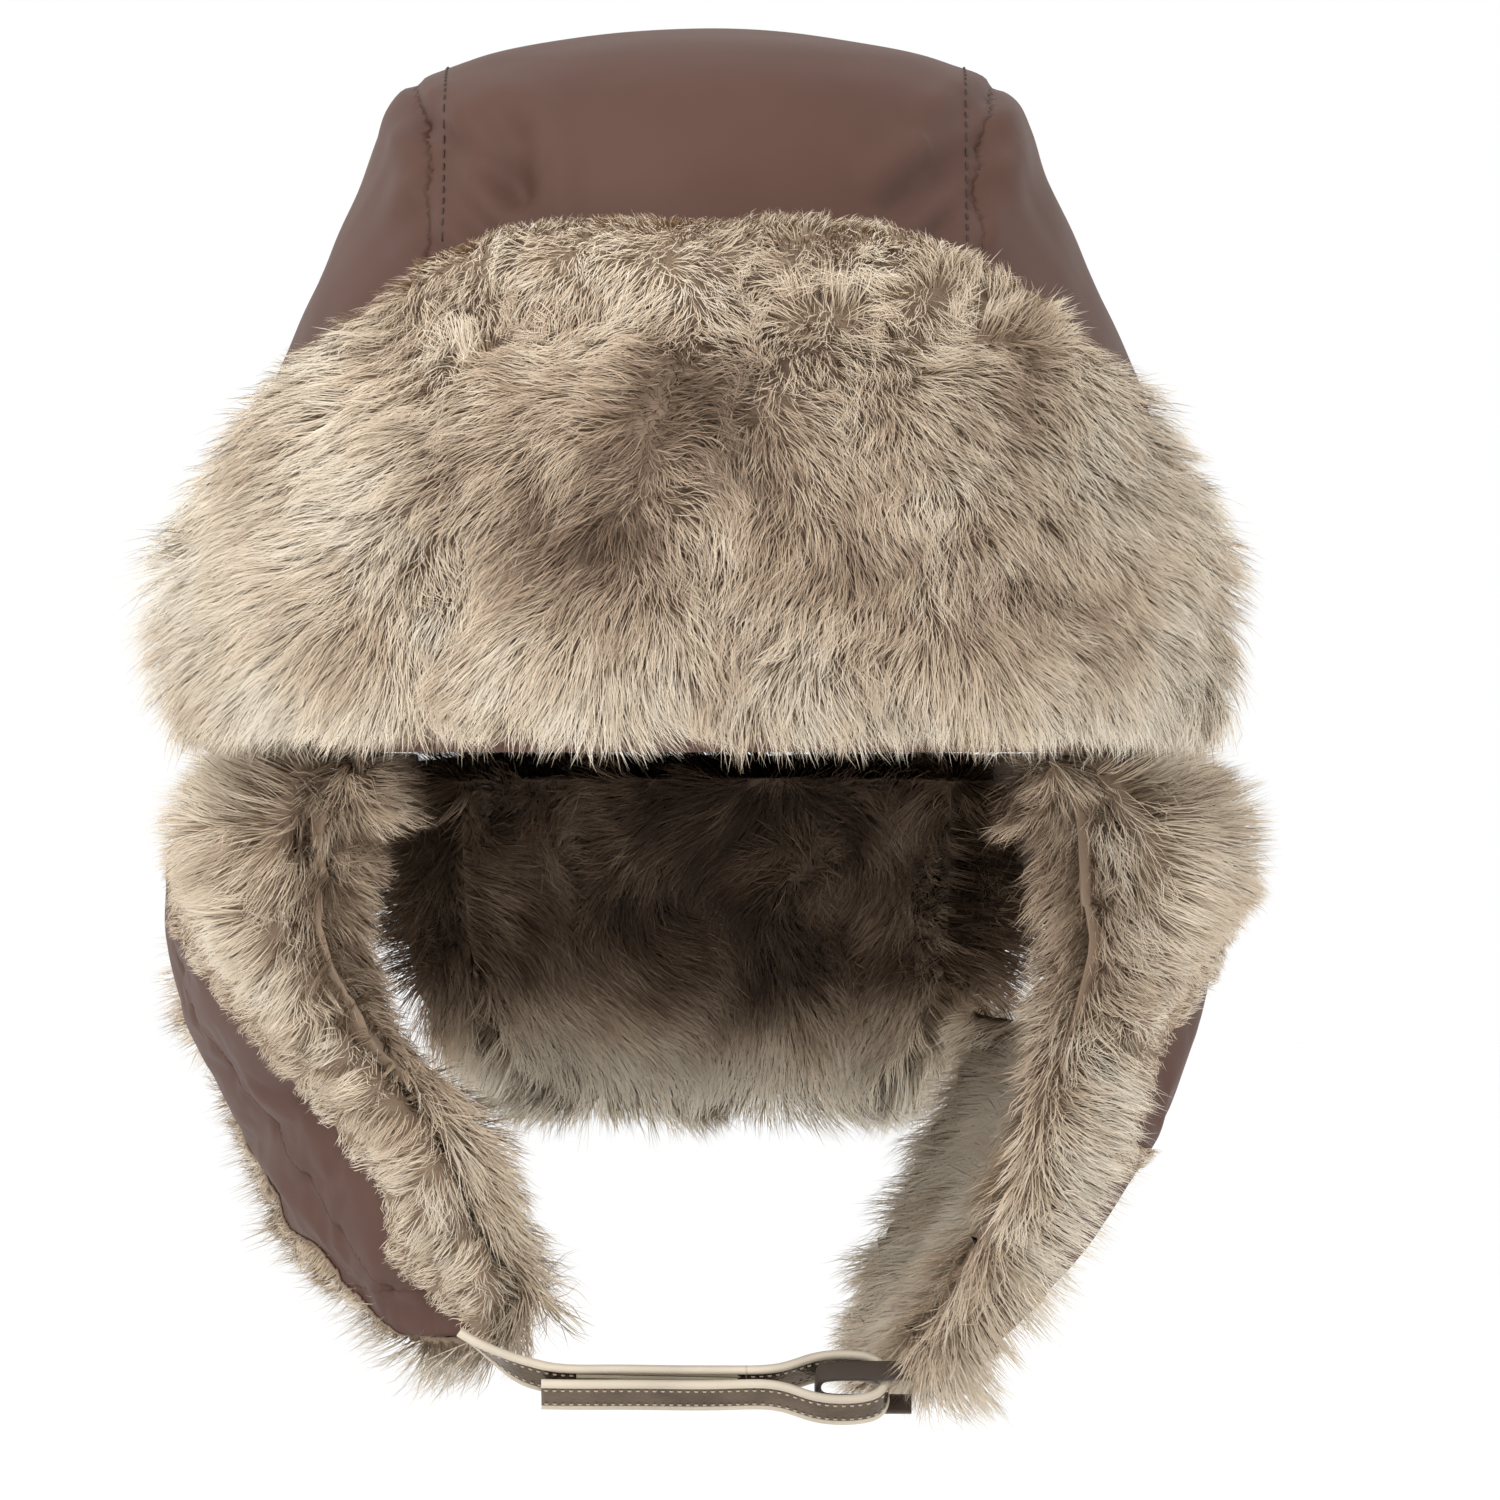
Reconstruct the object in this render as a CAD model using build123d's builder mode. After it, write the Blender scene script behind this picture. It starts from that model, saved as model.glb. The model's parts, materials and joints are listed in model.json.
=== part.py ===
"""A small child's trapper hat: padded crown, turned-up front flap, ear flaps, neck flap and chin strap.

Millimetres, +Z up. The origin is the centre of the head opening, at the brim. The wearer looks along -Y,
so the wearer's right is -X.
"""
import math
import os
from collections import namedtuple

from build123d import *

# Crown: half widths of its outer face at each height, from the brim to the top.
CROWN_PROFILE = [
    (89.5, 0.0),
    (89.0, 22.0),
    (86.0, 46.0),
    (80.5, 68.0),
    (70.5, 91.0),
    (60.5, 113.0),
    (52.0, 123.0),
    (40.0, 129.5),
    (18.0, 133.5),
]
CROWN_TOP = 134.0
CROWN_STRAIGHT = 12.0  # straight stretch of the brim's outline between its two half circles
PANEL_SEAM_X = 51.0

# Layers of cloth and padding.
SHELL = 1.0
LAYER_GAP = 0.25
CROWN_WADDING = 9.0
CROWN_LINING = 2.0
FLAP_WADDING = 5.0
BAND_THICKNESS = 2.0
BAND_HEIGHT = 24.0
FUR_PROUD = 0.8  # fur edge beyond the nylon face it frames
FUR_EDGE = 6.0  # fur that rolls round the edge of a flap
OPEN_SIDE = 5.0  # how far a pocket in the fur is cut past the open face of the flap

# Care label, folded and sewn under the head band.
LABEL_WIDTH = 18.0
LABEL_DROP = 16.0
LABEL_THICKNESS = 0.6
LABEL_CENTRE_Z = 12.0

# Ear flaps, one row per level. The nylon face is an arc whose middle stands at (x, y): half is half its
# width, radius is its bend, yaw turns its outer side towards the back and pile is the depth of the fur inside.
FlapRow = namedtuple("FlapRow", "z x y half radius yaw pile")
RIGHT_FLAP = [
    FlapRow(-0.4, 91.0, 5.0, 55.0, 100.0, 0.0, 15.0),
    FlapRow(-14.0, 99.0, 5.0, 55.0, 100.0, -1.0, 15.0),
    FlapRow(-32.0, 101.0, 3.0, 51.0, 95.0, -5.0, 14.0),
    FlapRow(-50.0, 96.0, -1.0, 45.0, 90.0, -12.0, 13.0),
    FlapRow(-70.0, 80.5, -6.0, 38.0, 80.0, -24.0, 11.0),
    FlapRow(-90.0, 69.0, -11.0, 30.0, 70.0, -33.0, 9.0),
    FlapRow(-101.0, 59.0, -14.0, 22.0, 62.0, -37.0, 8.0),
    FlapRow(-109.0, 52.0, -17.0, 12.0, 50.0, -40.0, 7.0),
    FlapRow(-114.5, 50.0, -18.0, 8.0, 45.0, -40.0, 6.0),
]
LEFT_FLAP = [
    FlapRow(-0.4, 91.0, 5.0, 55.0, 100.0, 0.0, 16.0),
    FlapRow(-14.0, 99.5, 5.0, 55.0, 100.0, 0.0, 18.0),
    FlapRow(-32.0, 98.0, 3.0, 51.0, 95.0, 2.0, 18.0),
    FlapRow(-50.0, 90.5, -1.0, 45.0, 90.0, 6.0, 17.0),
    FlapRow(-70.0, 82.0, -6.0, 38.0, 80.0, 10.0, 16.0),
    FlapRow(-90.0, 68.5, -11.0, 30.0, 70.0, 14.0, 15.0),
    FlapRow(-103.0, 58.0, -14.0, 22.0, 62.0, 16.0, 14.0),
    FlapRow(-113.0, 50.0, -17.0, 13.0, 50.0, 17.0, 12.0),
    FlapRow(-121.0, 45.5, -19.0, 8.0, 45.0, 17.0, 10.0),
]
TIP_TOP_Z = -101.0  # the nylon tip piece starts here
RIGHT_TIP_END_Z = -109.0
LEFT_TIP_END_Z = -113.0
LINING_FROM = 0.35  # share of the half width where the smooth lining strip starts
LINING_THICKNESS = 3.0
LINING_END_Z = -50.0

# Front and neck flaps, one row per level, both bent round a point near the middle of the head opening.
ArcRow = namedtuple("ArcRow", "z radius thick angle")
FRONT_CENTRE_Y = -6.0
FRONT_FLAP = [
    ArcRow(0.4, 90.9, 22.0, 61.0),
    ArcRow(22.0, 90.4, 22.5, 62.0),
    ArcRow(46.0, 87.4, 21.5, 60.0),
    ArcRow(68.0, 81.9, 20.0, 53.0),
    ArcRow(80.0, 76.8, 18.0, 44.0),
    ArcRow(91.0, 72.0, 16.0, 32.0),
    ArcRow(97.0, 69.4, 13.0, 20.0),
]
FRONT_NYLON_TOP_Z = 91.0
BACK_CENTRE_Y = 9.0
BACK_FLAP = [
    ArcRow(-0.4, 64.0, 23.0, 43.5),
    ArcRow(-20.0, 64.0, 24.0, 43.5),
    ArcRow(-42.0, 63.5, 23.5, 42.0),
    ArcRow(-58.0, 63.0, 22.0, 37.0),
    ArcRow(-67.5, 62.5, 19.0, 27.0),
]
BACK_NYLON_END_Z = -58.0
ARC_EDGE_ANGLE = 3.5  # degrees of fur beyond the nylon at each end

# Chin strap. It lies along X, turned about X so that its outer face looks forward and down.
STRAP_TURN = 55.0
STRAP_CENTRE = (0.0, -33.0, -118.2)
STRAP_SLOPE = -1.2  # degrees, falling towards the left flap
STRAP_WIDTH = 9.0
STRAP_THICKNESS = 1.4
BINDING_WIDTH = 1.0
TAPE_THICKNESS = 0.7
TAPE_GAP = 0.3
TAPE_WIDTH = 6.0
STRAP_MID = TAPE_THICKNESS + TAPE_GAP / 2 + STRAP_THICKNESS / 2  # layer middle from the fold's centre plane
TAIL_END_X = -30.5
TEARDROP_START_X = 8.0
TEARDROP_WIDE_X = 20.0
TEARDROP_HALF = 4.6  # layer middle where the strap passes round the loop
TEARDROP_END_X = 32.0
STRAP_ROOT = (-46.0, -33.0, -109.0)
ROOT_TWIST = ((-46.0, 90.0), (-40.0, 82.0), (-34.0, 66.0))  # x and turn where the main run leaves the flap
ROOT_CURVE = 1.4  # how steeply the main run climbs to its sewn end
TAPE_RANGE_X = (-24.0, 6.0)

# Brown webbing loop that holds the fold of the strap.
LOOP_WIDTH = 6.0
LOOP_THICKNESS = 1.1
LOOP_HALF_GAP = 5.1
LOOP_CORNER_HALF = 3.1  # half length of the straight stretch between the webbing's two rounded corners
LOOP_START_X = 20.6
LOOP_END_X = 38.5
LOOP_SLOT_START_X = 30.0
SLOT_MARGIN = 1.2
FOLD_ROOM_RADIUS = 13.5
ROOT_ROOM_RADIUS = 14.0


def shifted_profile(depth):
    """The crown's outer profile moved inwards along its normal by a depth."""
    moved = [(CROWN_PROFILE[0][0] - depth, 0.0)]
    for before, point, after in zip(CROWN_PROFILE, CROWN_PROFILE[1:], CROWN_PROFILE[2:]):
        run = after[0] - before[0]
        rise = after[1] - before[1]
        length = math.hypot(run, rise)
        moved.append((point[0] - depth * rise / length, point[1] + depth * run / length))
    last = CROWN_PROFILE[-1]
    moved.append((last[0] * (moved[-1][0] / CROWN_PROFILE[-2][0]), last[1] - depth))
    return moved


def dome(depth):
    """The solid under the crown's outer face, moved inwards: two half turns and a straight middle."""
    points = shifted_profile(depth)
    crest = (0.0, CROWN_TOP - depth)
    with BuildPart() as solid:
        for end in (-1, 1):
            with BuildSketch(Plane.XZ.offset(-end * CROWN_STRAIGHT / 2)):
                with BuildLine():
                    Polyline((0, 0), *points, crest, close=True)
                make_face()
            revolve(axis=Axis((0, end * CROWN_STRAIGHT / 2, 0), (0, 0, 1)), revolution_arc=end * 180)
        with BuildSketch(Plane.XZ):
            with BuildLine():
                Polyline(*((-x, z) for x, z in points), crest, *reversed(points), close=True)
            make_face()
        extrude(amount=CROWN_STRAIGHT / 2, both=True)
    return solid.part


def crown_layer(outer_depth, inner_depth):
    """A dome-shaped layer of the crown between two depths under its outer face."""
    with BuildPart() as layer:
        add(dome(outer_depth))
        add(dome(inner_depth), mode=Mode.SUBTRACT)
    return layer.part


def row_at(rows, z):
    """The flap row at a level, in line between the two rows beside it."""
    for upper, lower in zip(rows, rows[1:]):
        low, high = sorted((upper.z, lower.z))
        if low <= z <= high:
            share = (z - upper.z) / (lower.z - upper.z)
            return type(upper)(*(a + share * (b - a) for a, b in zip(upper, lower)))
    raise ValueError(z)


def levels(rows, start, end):
    """The rows from one level to another."""
    inside = [row for row in rows if min(start, end) < row.z < max(start, end)]
    return [row_at(rows, start)] + inside + [row_at(rows, end)]


def ear_layer(rows, side, outer, inner, from_u, to_u, front_grow=0.0, rear_grow=0.0):
    """A slab of an ear flap. outer and inner are depths under the nylon face as functions of the row.

    from_u and to_u are shares of the half width, front to rear, and each grow is added beyond its end.
    """
    with BuildPart() as layer:
        for row in rows:
            turn = math.radians(row.yaw)
            outward = (side * math.cos(turn), math.sin(turn), 0)
            front = from_u * row.half - front_grow
            rear = to_u * row.half + rear_grow

            def face_point(depth, along):
                drop = row.radius - math.sqrt(row.radius**2 - along**2)
                return (-depth - drop, along)

            middle = (front + rear) / 2
            with BuildSketch(Plane((side * row.x, row.y, row.z), x_dir=outward, z_dir=(0, 0, side))):
                with BuildLine():
                    near = [face_point(outer(row), along) for along in (front, middle, rear)]
                    far = [face_point(inner(row), along) for along in (rear, middle, front)]
                    ThreePointArc(*near)
                    Line(near[2], far[0])
                    ThreePointArc(*far)
                    Line(far[2], near[0])
                make_face()
        loft(ruled=True)
    return layer.part


def arc_layer(rows, centre_y, facing, outer, inner, edge_angle):
    """A slab of the front or neck flap. outer and inner are radii as functions of the row."""
    with BuildPart() as layer:
        for row in rows:
            angle = math.radians(row.angle + edge_angle)

            def polar(radius, bearing):
                return (radius * math.sin(bearing), centre_y + facing * radius * math.cos(bearing))

            with BuildSketch(Plane.XY.offset(row.z)):
                with BuildLine():
                    near = [polar(outer(row), bearing) for bearing in (-angle, 0, angle)]
                    far = [polar(inner(row), bearing) for bearing in (angle, 0, -angle)]
                    ThreePointArc(*near)
                    Line(near[2], far[0])
                    ThreePointArc(*far)
                    Line(far[2], near[0])
                make_face()
        loft(ruled=True)
    return layer.part


def strap_plane(turn=STRAP_TURN, origin=STRAP_CENTRE):
    """The plane of the strap's length and layer normal. Its own normal runs across the strap's width."""
    slope = math.radians(STRAP_SLOPE)
    tilt = math.radians(turn)
    along = (math.cos(slope), 0, math.sin(slope))
    across = Vector(0, math.sin(tilt), -math.cos(tilt))
    across = across - Vector(*along) * across.dot(Vector(*along))
    return Plane(origin, x_dir=along, z_dir=across)


def save(piece, label):
    """Label a finished piece and write its file."""
    piece.label = label
    export_step(piece, f"parts/{label}.step")


os.makedirs("parts", exist_ok=True)

# ---- Crown ----
shell_layer = crown_layer(0.0, SHELL)
seam_left = Plane.YZ.offset(PANEL_SEAM_X)
seam_right = Plane.YZ.offset(-PANEL_SEAM_X)

with BuildPart() as crown_center_panel:
    add(shell_layer)
    split(bisect_by=seam_left, keep=Keep.BOTTOM)
    split(bisect_by=seam_right, keep=Keep.TOP)
save(crown_center_panel.part, "crown_center_panel")

with BuildPart() as crown_side_panel_left:
    add(shell_layer)
    split(bisect_by=seam_left, keep=Keep.TOP)
save(crown_side_panel_left.part, "crown_side_panel_left")

with BuildPart() as crown_side_panel_right:
    add(shell_layer)
    split(bisect_by=seam_right, keep=Keep.BOTTOM)
save(crown_side_panel_right.part, "crown_side_panel_right")

wadding_depth = SHELL + LAYER_GAP
lining_depth = wadding_depth + CROWN_WADDING + LAYER_GAP
band_depth = lining_depth + CROWN_LINING + LAYER_GAP
label_depth = band_depth + BAND_THICKNESS + LAYER_GAP

save(crown_layer(wadding_depth, wadding_depth + CROWN_WADDING), "crown_wadding")
save(crown_layer(lining_depth, lining_depth + CROWN_LINING), "crown_lining")

with BuildPart() as head_band:
    add(crown_layer(band_depth, band_depth + BAND_THICKNESS))
    split(bisect_by=Plane.XY.offset(BAND_HEIGHT), keep=Keep.BOTTOM)
save(head_band.part, "head_band")

with BuildPart() as care_label:
    with BuildSketch(Plane.XY.offset(LABEL_CENTRE_Z - LABEL_DROP / 2)):
        label_y = CROWN_PROFILE[0][0] - label_depth + CROWN_STRAIGHT / 2 - 2 * LABEL_THICKNESS
        with Locations((0, label_y)):
            Rectangle(LABEL_WIDTH, LABEL_THICKNESS)
    extrude(amount=LABEL_DROP)
save(care_label.part, "care_label")


# ---- Ear flaps ----
def wadding_out(row):
    return SHELL + LAYER_GAP


def wadding_in(row):
    return SHELL + LAYER_GAP + FLAP_WADDING


def fur_in(row):
    return wadding_in(row) + LAYER_GAP + row.pile


def pocket_in(row):
    return wadding_in(row) + LAYER_GAP


def lining_in(row):
    return pocket_in(row) + LAYER_GAP + LINING_THICKNESS


strap_frame = strap_plane()

# Room for the webbing loop's legs and for the fold of the strap as it turns on the loop.
with BuildPart() as loop_room:
    with BuildSketch(strap_frame):
        with Locations(((LOOP_SLOT_START_X + LOOP_END_X + SLOT_MARGIN) / 2, 0)):
            Rectangle(LOOP_END_X + SLOT_MARGIN - LOOP_SLOT_START_X, LOOP_WIDTH + 2 * SLOT_MARGIN)
        with Locations((LOOP_START_X, 0)):
            Circle(FOLD_ROOM_RADIUS)
    extrude(amount=LOOP_HALF_GAP + LOOP_THICKNESS + SLOT_MARGIN, both=True)

# Room for the sewn end of the strap as it swings up.
with BuildPart() as root_room:
    with BuildSketch(Plane.XZ.offset(-STRAP_ROOT[1])):
        with Locations((STRAP_ROOT[0], STRAP_ROOT[2])):
            Circle(ROOT_ROOM_RADIUS)
    extrude(amount=STRAP_WIDTH / 2 + SLOT_MARGIN, both=True)

strap_room = {1: loop_room.part, -1: root_room.part}

for name, side, rows, tip_end in (
    ("ear_flap_right", -1, RIGHT_FLAP, RIGHT_TIP_END_Z),
    ("ear_flap_left", 1, LEFT_FLAP, LEFT_TIP_END_Z),
):
    top = rows[0].z
    panel_rows = levels(rows, top, TIP_TOP_Z)
    tip_rows = levels(rows, TIP_TOP_Z - LAYER_GAP, tip_end)
    padded_rows = levels(rows, top, tip_end)
    pocket_rows = levels(rows, top, tip_end - LAYER_GAP)
    seam = LAYER_GAP / 2 / rows[0].half

    save(ear_layer(panel_rows, side, lambda row: 0.0, lambda row: SHELL, -1, -seam), f"{name}_front_panel")
    save(ear_layer(panel_rows, side, lambda row: 0.0, lambda row: SHELL, seam, 1), f"{name}_rear_panel")
    save(ear_layer(tip_rows, side, lambda row: 0.0, lambda row: SHELL, -1, 1), f"{name}_tip")
    save(ear_layer(padded_rows, side, wadding_out, wadding_in, -1, 1), f"{name}_wadding")

    lining_rows = levels(rows, top, LINING_END_Z)
    cleared_rows = levels(rows, top, LINING_END_Z - LAYER_GAP)
    save(
        ear_layer(lining_rows, side, lambda row: pocket_in(row) + LAYER_GAP, lining_in, LINING_FROM, 1),
        f"{name}_lining",
    )

    with BuildPart() as fur:
        add(ear_layer(rows, side, lambda row: -FUR_PROUD, fur_in, -1, 1, FUR_EDGE, FUR_EDGE))
        pocket = ear_layer(
            pocket_rows, side, lambda row: -OPEN_SIDE, pocket_in, -1, 1, LAYER_GAP, LAYER_GAP
        )
        add(pocket, mode=Mode.SUBTRACT)
        bare = ear_layer(
            cleared_rows, side, wadding_out, lambda row: 2 * fur_in(row), LINING_FROM, 1, LAYER_GAP, 2 * FUR_EDGE
        )
        add(bare, mode=Mode.SUBTRACT)
        add(strap_room[side], mode=Mode.SUBTRACT)
    save(fur.part, f"{name}_fur")


# ---- Front flap: nylon against the crown, fur outside ----
def save_arc_flap(name, rows, nylon_end, centre_y, facing, nylon_radius, inward):
    """A flap's nylon, wadding and fur. inward is +1 where the fur stands outside the nylon, -1 where inside."""

    def at(depth):
        return lambda row: nylon_radius(row) + inward * depth

    padded_rows = levels(rows, rows[0].z, nylon_end)
    pocket_rows = levels(rows, rows[0].z, nylon_end + math.copysign(LAYER_GAP, nylon_end))
    wadding_far = SHELL + LAYER_GAP + FLAP_WADDING
    save(arc_layer(padded_rows, centre_y, facing, at(0), at(SHELL), 0), f"{name}_shell")
    save(arc_layer(padded_rows, centre_y, facing, at(SHELL + LAYER_GAP), at(wadding_far), 0), f"{name}_wadding")
    with BuildPart() as pile:
        add(arc_layer(rows, centre_y, facing, at(0), lambda row: at(row.thick)(row), ARC_EDGE_ANGLE))
        pocket = arc_layer(pocket_rows, centre_y, facing, at(-OPEN_SIDE), at(wadding_far + LAYER_GAP), LAYER_GAP)
        add(pocket, mode=Mode.SUBTRACT)
    save(pile.part, f"{name}_fur")


save_arc_flap(
    "front_flap", FRONT_FLAP, FRONT_NYLON_TOP_Z, FRONT_CENTRE_Y, -1, lambda row: row.radius, 1
)
save_arc_flap(
    "back_flap", BACK_FLAP, BACK_NYLON_END_Z, BACK_CENTRE_Y, 1, lambda row: row.radius + row.thick, -1
)


# ---- Chin strap ----
def strap_sections(half_across, offset_across):
    """The main run: twisted where it leaves the right flap, then straight to the fold."""
    straight = ((TAIL_END_X + 1, STRAP_TURN), (TEARDROP_START_X - TAPE_GAP, STRAP_TURN))
    for x, turn in ROOT_TWIST + straight:
        yield strap_plane(turn), x, half_across, offset_across


def strap_height(x):
    """Rise of the main run above its straight line where it comes down from the right flap."""
    start = TAIL_END_X + 1
    share = max(0.0, (start - x) / (start - STRAP_ROOT[0]))
    return (STRAP_ROOT[2] - STRAP_CENTRE[2]) * share**ROOT_CURVE


def main_run(half_across, offset_across):
    """A lofted ribbon along the main run, offset across its width."""
    with BuildPart() as ribbon:
        for frame, x, half, offset in strap_sections(half_across, offset_across):
            place = Vector(0, 0, strap_height(x))
            origin = frame.origin + frame.x_dir * x + place
            section = Plane(origin, x_dir=frame.y_dir, z_dir=frame.x_dir)
            with BuildSketch(section):
                with Locations((-STRAP_MID, offset)):
                    Rectangle(STRAP_THICKNESS, 2 * half)
        loft(ruled=True)
    return ribbon.part


core_half = STRAP_WIDTH / 2 - BINDING_WIDTH
binding_offset = core_half + BINDING_WIDTH / 2
save(main_run(core_half, 0.0), "chin_strap")

with BuildPart() as chin_strap_binding:
    for offset_across in (-binding_offset, binding_offset):
        add(main_run(BINDING_WIDTH / 2, offset_across))
save(chin_strap_binding.part, "chin_strap_binding")


def tail_run(half_across, offset_across):
    """The fold and tail as a ribbon swept round the loop, offset across its width."""
    with BuildPart() as ribbon:
        with BuildLine(strap_frame) as path:
            FilletPolyline(
                (TEARDROP_START_X, -STRAP_MID),
                (TEARDROP_WIDE_X, -TEARDROP_HALF),
                (TEARDROP_END_X, -TEARDROP_HALF),
                (TEARDROP_END_X, TEARDROP_HALF),
                (TEARDROP_WIDE_X, TEARDROP_HALF),
                (TEARDROP_START_X, STRAP_MID),
                (TAIL_END_X, STRAP_MID),
                radius=TEARDROP_HALF - STRAP_THICKNESS / 2,
            )
        start = path.line @ 0
        with BuildSketch(Plane(start, x_dir=strap_frame.z_dir, z_dir=path.line % 0)):
            with Locations((offset_across, 0)):
                Rectangle(2 * half_across, STRAP_THICKNESS)
        sweep()
    return ribbon.part


save(tail_run(core_half, 0.0), "strap_tail")

with BuildPart() as strap_tail_binding:
    for offset_across in (-binding_offset, binding_offset):
        add(tail_run(BINDING_WIDTH / 2, offset_across))
save(strap_tail_binding.part, "strap_tail_binding")

tape_middle = (TAPE_GAP + TAPE_THICKNESS) / 2
for label, normal_offset in (("loop_tape", -tape_middle), ("hook_tape", tape_middle)):
    with BuildPart() as tape:
        with BuildSketch(strap_frame):
            with Locations((sum(TAPE_RANGE_X) / 2, normal_offset)):
                Rectangle(TAPE_RANGE_X[1] - TAPE_RANGE_X[0], TAPE_THICKNESS)
        extrude(amount=TAPE_WIDTH / 2, both=True)
    save(tape.part, label)

with BuildPart() as strap_loop:
    with BuildSketch(Plane(strap_frame.origin, x_dir=strap_frame.x_dir, z_dir=strap_frame.y_dir)):
        with BuildLine():
            far = LOOP_HALF_GAP + LOOP_THICKNESS
            corner = LOOP_CORNER_HALF
            Line((LOOP_END_X, far), (LOOP_START_X + far - corner, far))
            JernArc((LOOP_START_X + far - corner, far), (-1, 0), far - corner, 90)
            Line((LOOP_START_X, corner), (LOOP_START_X, -corner))
            JernArc((LOOP_START_X, -corner), (0, -1), far - corner, 90)
            Line((LOOP_START_X + far - corner, -far), (LOOP_END_X, -far))
            Line((LOOP_END_X, -far), (LOOP_END_X, -LOOP_HALF_GAP))
            Line((LOOP_END_X, -LOOP_HALF_GAP), (LOOP_START_X + far - corner, -LOOP_HALF_GAP))
            JernArc((LOOP_START_X + far - corner, -LOOP_HALF_GAP), (-1, 0), LOOP_HALF_GAP - corner, -90)
            Line((LOOP_START_X + LOOP_THICKNESS, -corner), (LOOP_START_X + LOOP_THICKNESS, corner))
            JernArc((LOOP_START_X + LOOP_THICKNESS, corner), (0, 1), LOOP_HALF_GAP - corner, -90)
            Line((LOOP_START_X + far - corner, LOOP_HALF_GAP), (LOOP_END_X, LOOP_HALF_GAP))
            Line((LOOP_END_X, LOOP_HALF_GAP), (LOOP_END_X, far))
        make_face()
    extrude(amount=LOOP_WIDTH / 2, both=True)
save(strap_loop.part, "strap_loop")
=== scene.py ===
"""Blender model of a small child's trapper hat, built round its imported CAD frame.

Lengths are in metres, +Z is up and the front is -Y. Left and right are the wearer's.
"""
import json
import math

import bmesh
import bpy
import numpy as np
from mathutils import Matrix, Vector
from mathutils.bvhtree import BVHTree
from mathutils.kdtree import KDTree


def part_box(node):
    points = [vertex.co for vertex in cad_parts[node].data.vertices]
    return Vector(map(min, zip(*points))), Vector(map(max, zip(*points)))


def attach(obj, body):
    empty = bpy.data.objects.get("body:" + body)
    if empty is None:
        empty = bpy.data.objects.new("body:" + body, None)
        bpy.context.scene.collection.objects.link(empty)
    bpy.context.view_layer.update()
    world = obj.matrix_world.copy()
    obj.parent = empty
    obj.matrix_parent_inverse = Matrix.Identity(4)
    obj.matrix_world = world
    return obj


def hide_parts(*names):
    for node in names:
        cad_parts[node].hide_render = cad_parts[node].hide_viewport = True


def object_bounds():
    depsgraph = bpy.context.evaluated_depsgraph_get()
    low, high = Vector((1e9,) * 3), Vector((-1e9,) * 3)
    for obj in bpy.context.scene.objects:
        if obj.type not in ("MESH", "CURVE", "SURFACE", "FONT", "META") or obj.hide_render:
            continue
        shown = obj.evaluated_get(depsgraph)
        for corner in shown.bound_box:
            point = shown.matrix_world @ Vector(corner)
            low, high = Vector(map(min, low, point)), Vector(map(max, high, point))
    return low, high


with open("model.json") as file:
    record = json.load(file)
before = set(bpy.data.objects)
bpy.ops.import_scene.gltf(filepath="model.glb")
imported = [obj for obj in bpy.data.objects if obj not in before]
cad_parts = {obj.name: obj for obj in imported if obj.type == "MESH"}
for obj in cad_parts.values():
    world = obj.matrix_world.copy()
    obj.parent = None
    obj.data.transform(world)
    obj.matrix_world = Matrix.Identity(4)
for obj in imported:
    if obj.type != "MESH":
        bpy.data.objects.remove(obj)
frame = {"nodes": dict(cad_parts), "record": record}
cad_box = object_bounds()
MM = 0.001
NODES = frame["nodes"]
JOINTS = {joint["name"]: joint for joint in frame["record"]["behaviour"]["joints"]}

# ---- Camera, light and floor ----
VIEW_DISTANCE = 2.95  # from the camera to the front of the ear flaps
VIEW_WIDTH = 0.2775  # width of the view at that distance
VIEW_X = 8.3 * MM
SENSOR = 36.0
FLOOR_REACH = 6.0
FLOOR_DROP = 40 * MM  # from the lowest point of the part


def make_stage():
    """A pale floor, soft light from the upper left and a long lens straight at the front."""
    scene = bpy.context.scene
    camera = bpy.data.objects.new("camera", bpy.data.cameras.new("camera"))
    camera.location = (VIEW_X, -VIEW_DISTANCE - 50 * MM, 0.0)
    camera.rotation_euler = (math.radians(90), 0, 0)
    camera.data.sensor_width = SENSOR
    camera.data.lens = SENSOR * VIEW_DISTANCE / VIEW_WIDTH
    scene.collection.objects.link(camera)
    scene.camera = camera

    world = bpy.data.worlds.new("studio")
    world.use_nodes = True
    background = world.node_tree.nodes["Background"]
    background.inputs["Color"].default_value = (1.0, 1.0, 1.0, 1.0)
    background.inputs["Strength"].default_value = 1.0
    scene.world = world

    lamp_data = bpy.data.lights.new("key_light", "AREA")
    lamp_data.shape = "DISK"
    lamp_data.size = 0.45
    lamp_data.energy = 8.0
    lamp = bpy.data.objects.new("key_light", lamp_data)
    lamp.location = (-0.62, -1.0, 0.95)
    aim = Vector((0, 0, 0.02)) - lamp.location
    lamp.rotation_euler = aim.to_track_quat("-Z", "Y").to_euler()
    scene.collection.objects.link(lamp)

    floor_z = cad_box[0][2] - FLOOR_DROP
    corners = [(x * FLOOR_REACH, y * FLOOR_REACH, floor_z) for x, y in ((-1, -1), (1, -1), (1, 1), (-1, 1))]
    floor = new_object("floor", corners, [(0, 1, 2, 3)], plain_material("floor_paint", (1.0, 1.0, 1.0), 1.0))
    scene.view_settings.view_transform = "Standard"


# ---- Materials ----
def plain_material(name, colour, roughness):
    material = bpy.data.materials.new(name)
    material.use_nodes = True
    shader = material.node_tree.nodes["Principled BSDF"]
    shader.inputs["Base Color"].default_value = (*colour, 1.0)
    shader.inputs["Roughness"].default_value = roughness
    return material


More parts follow.
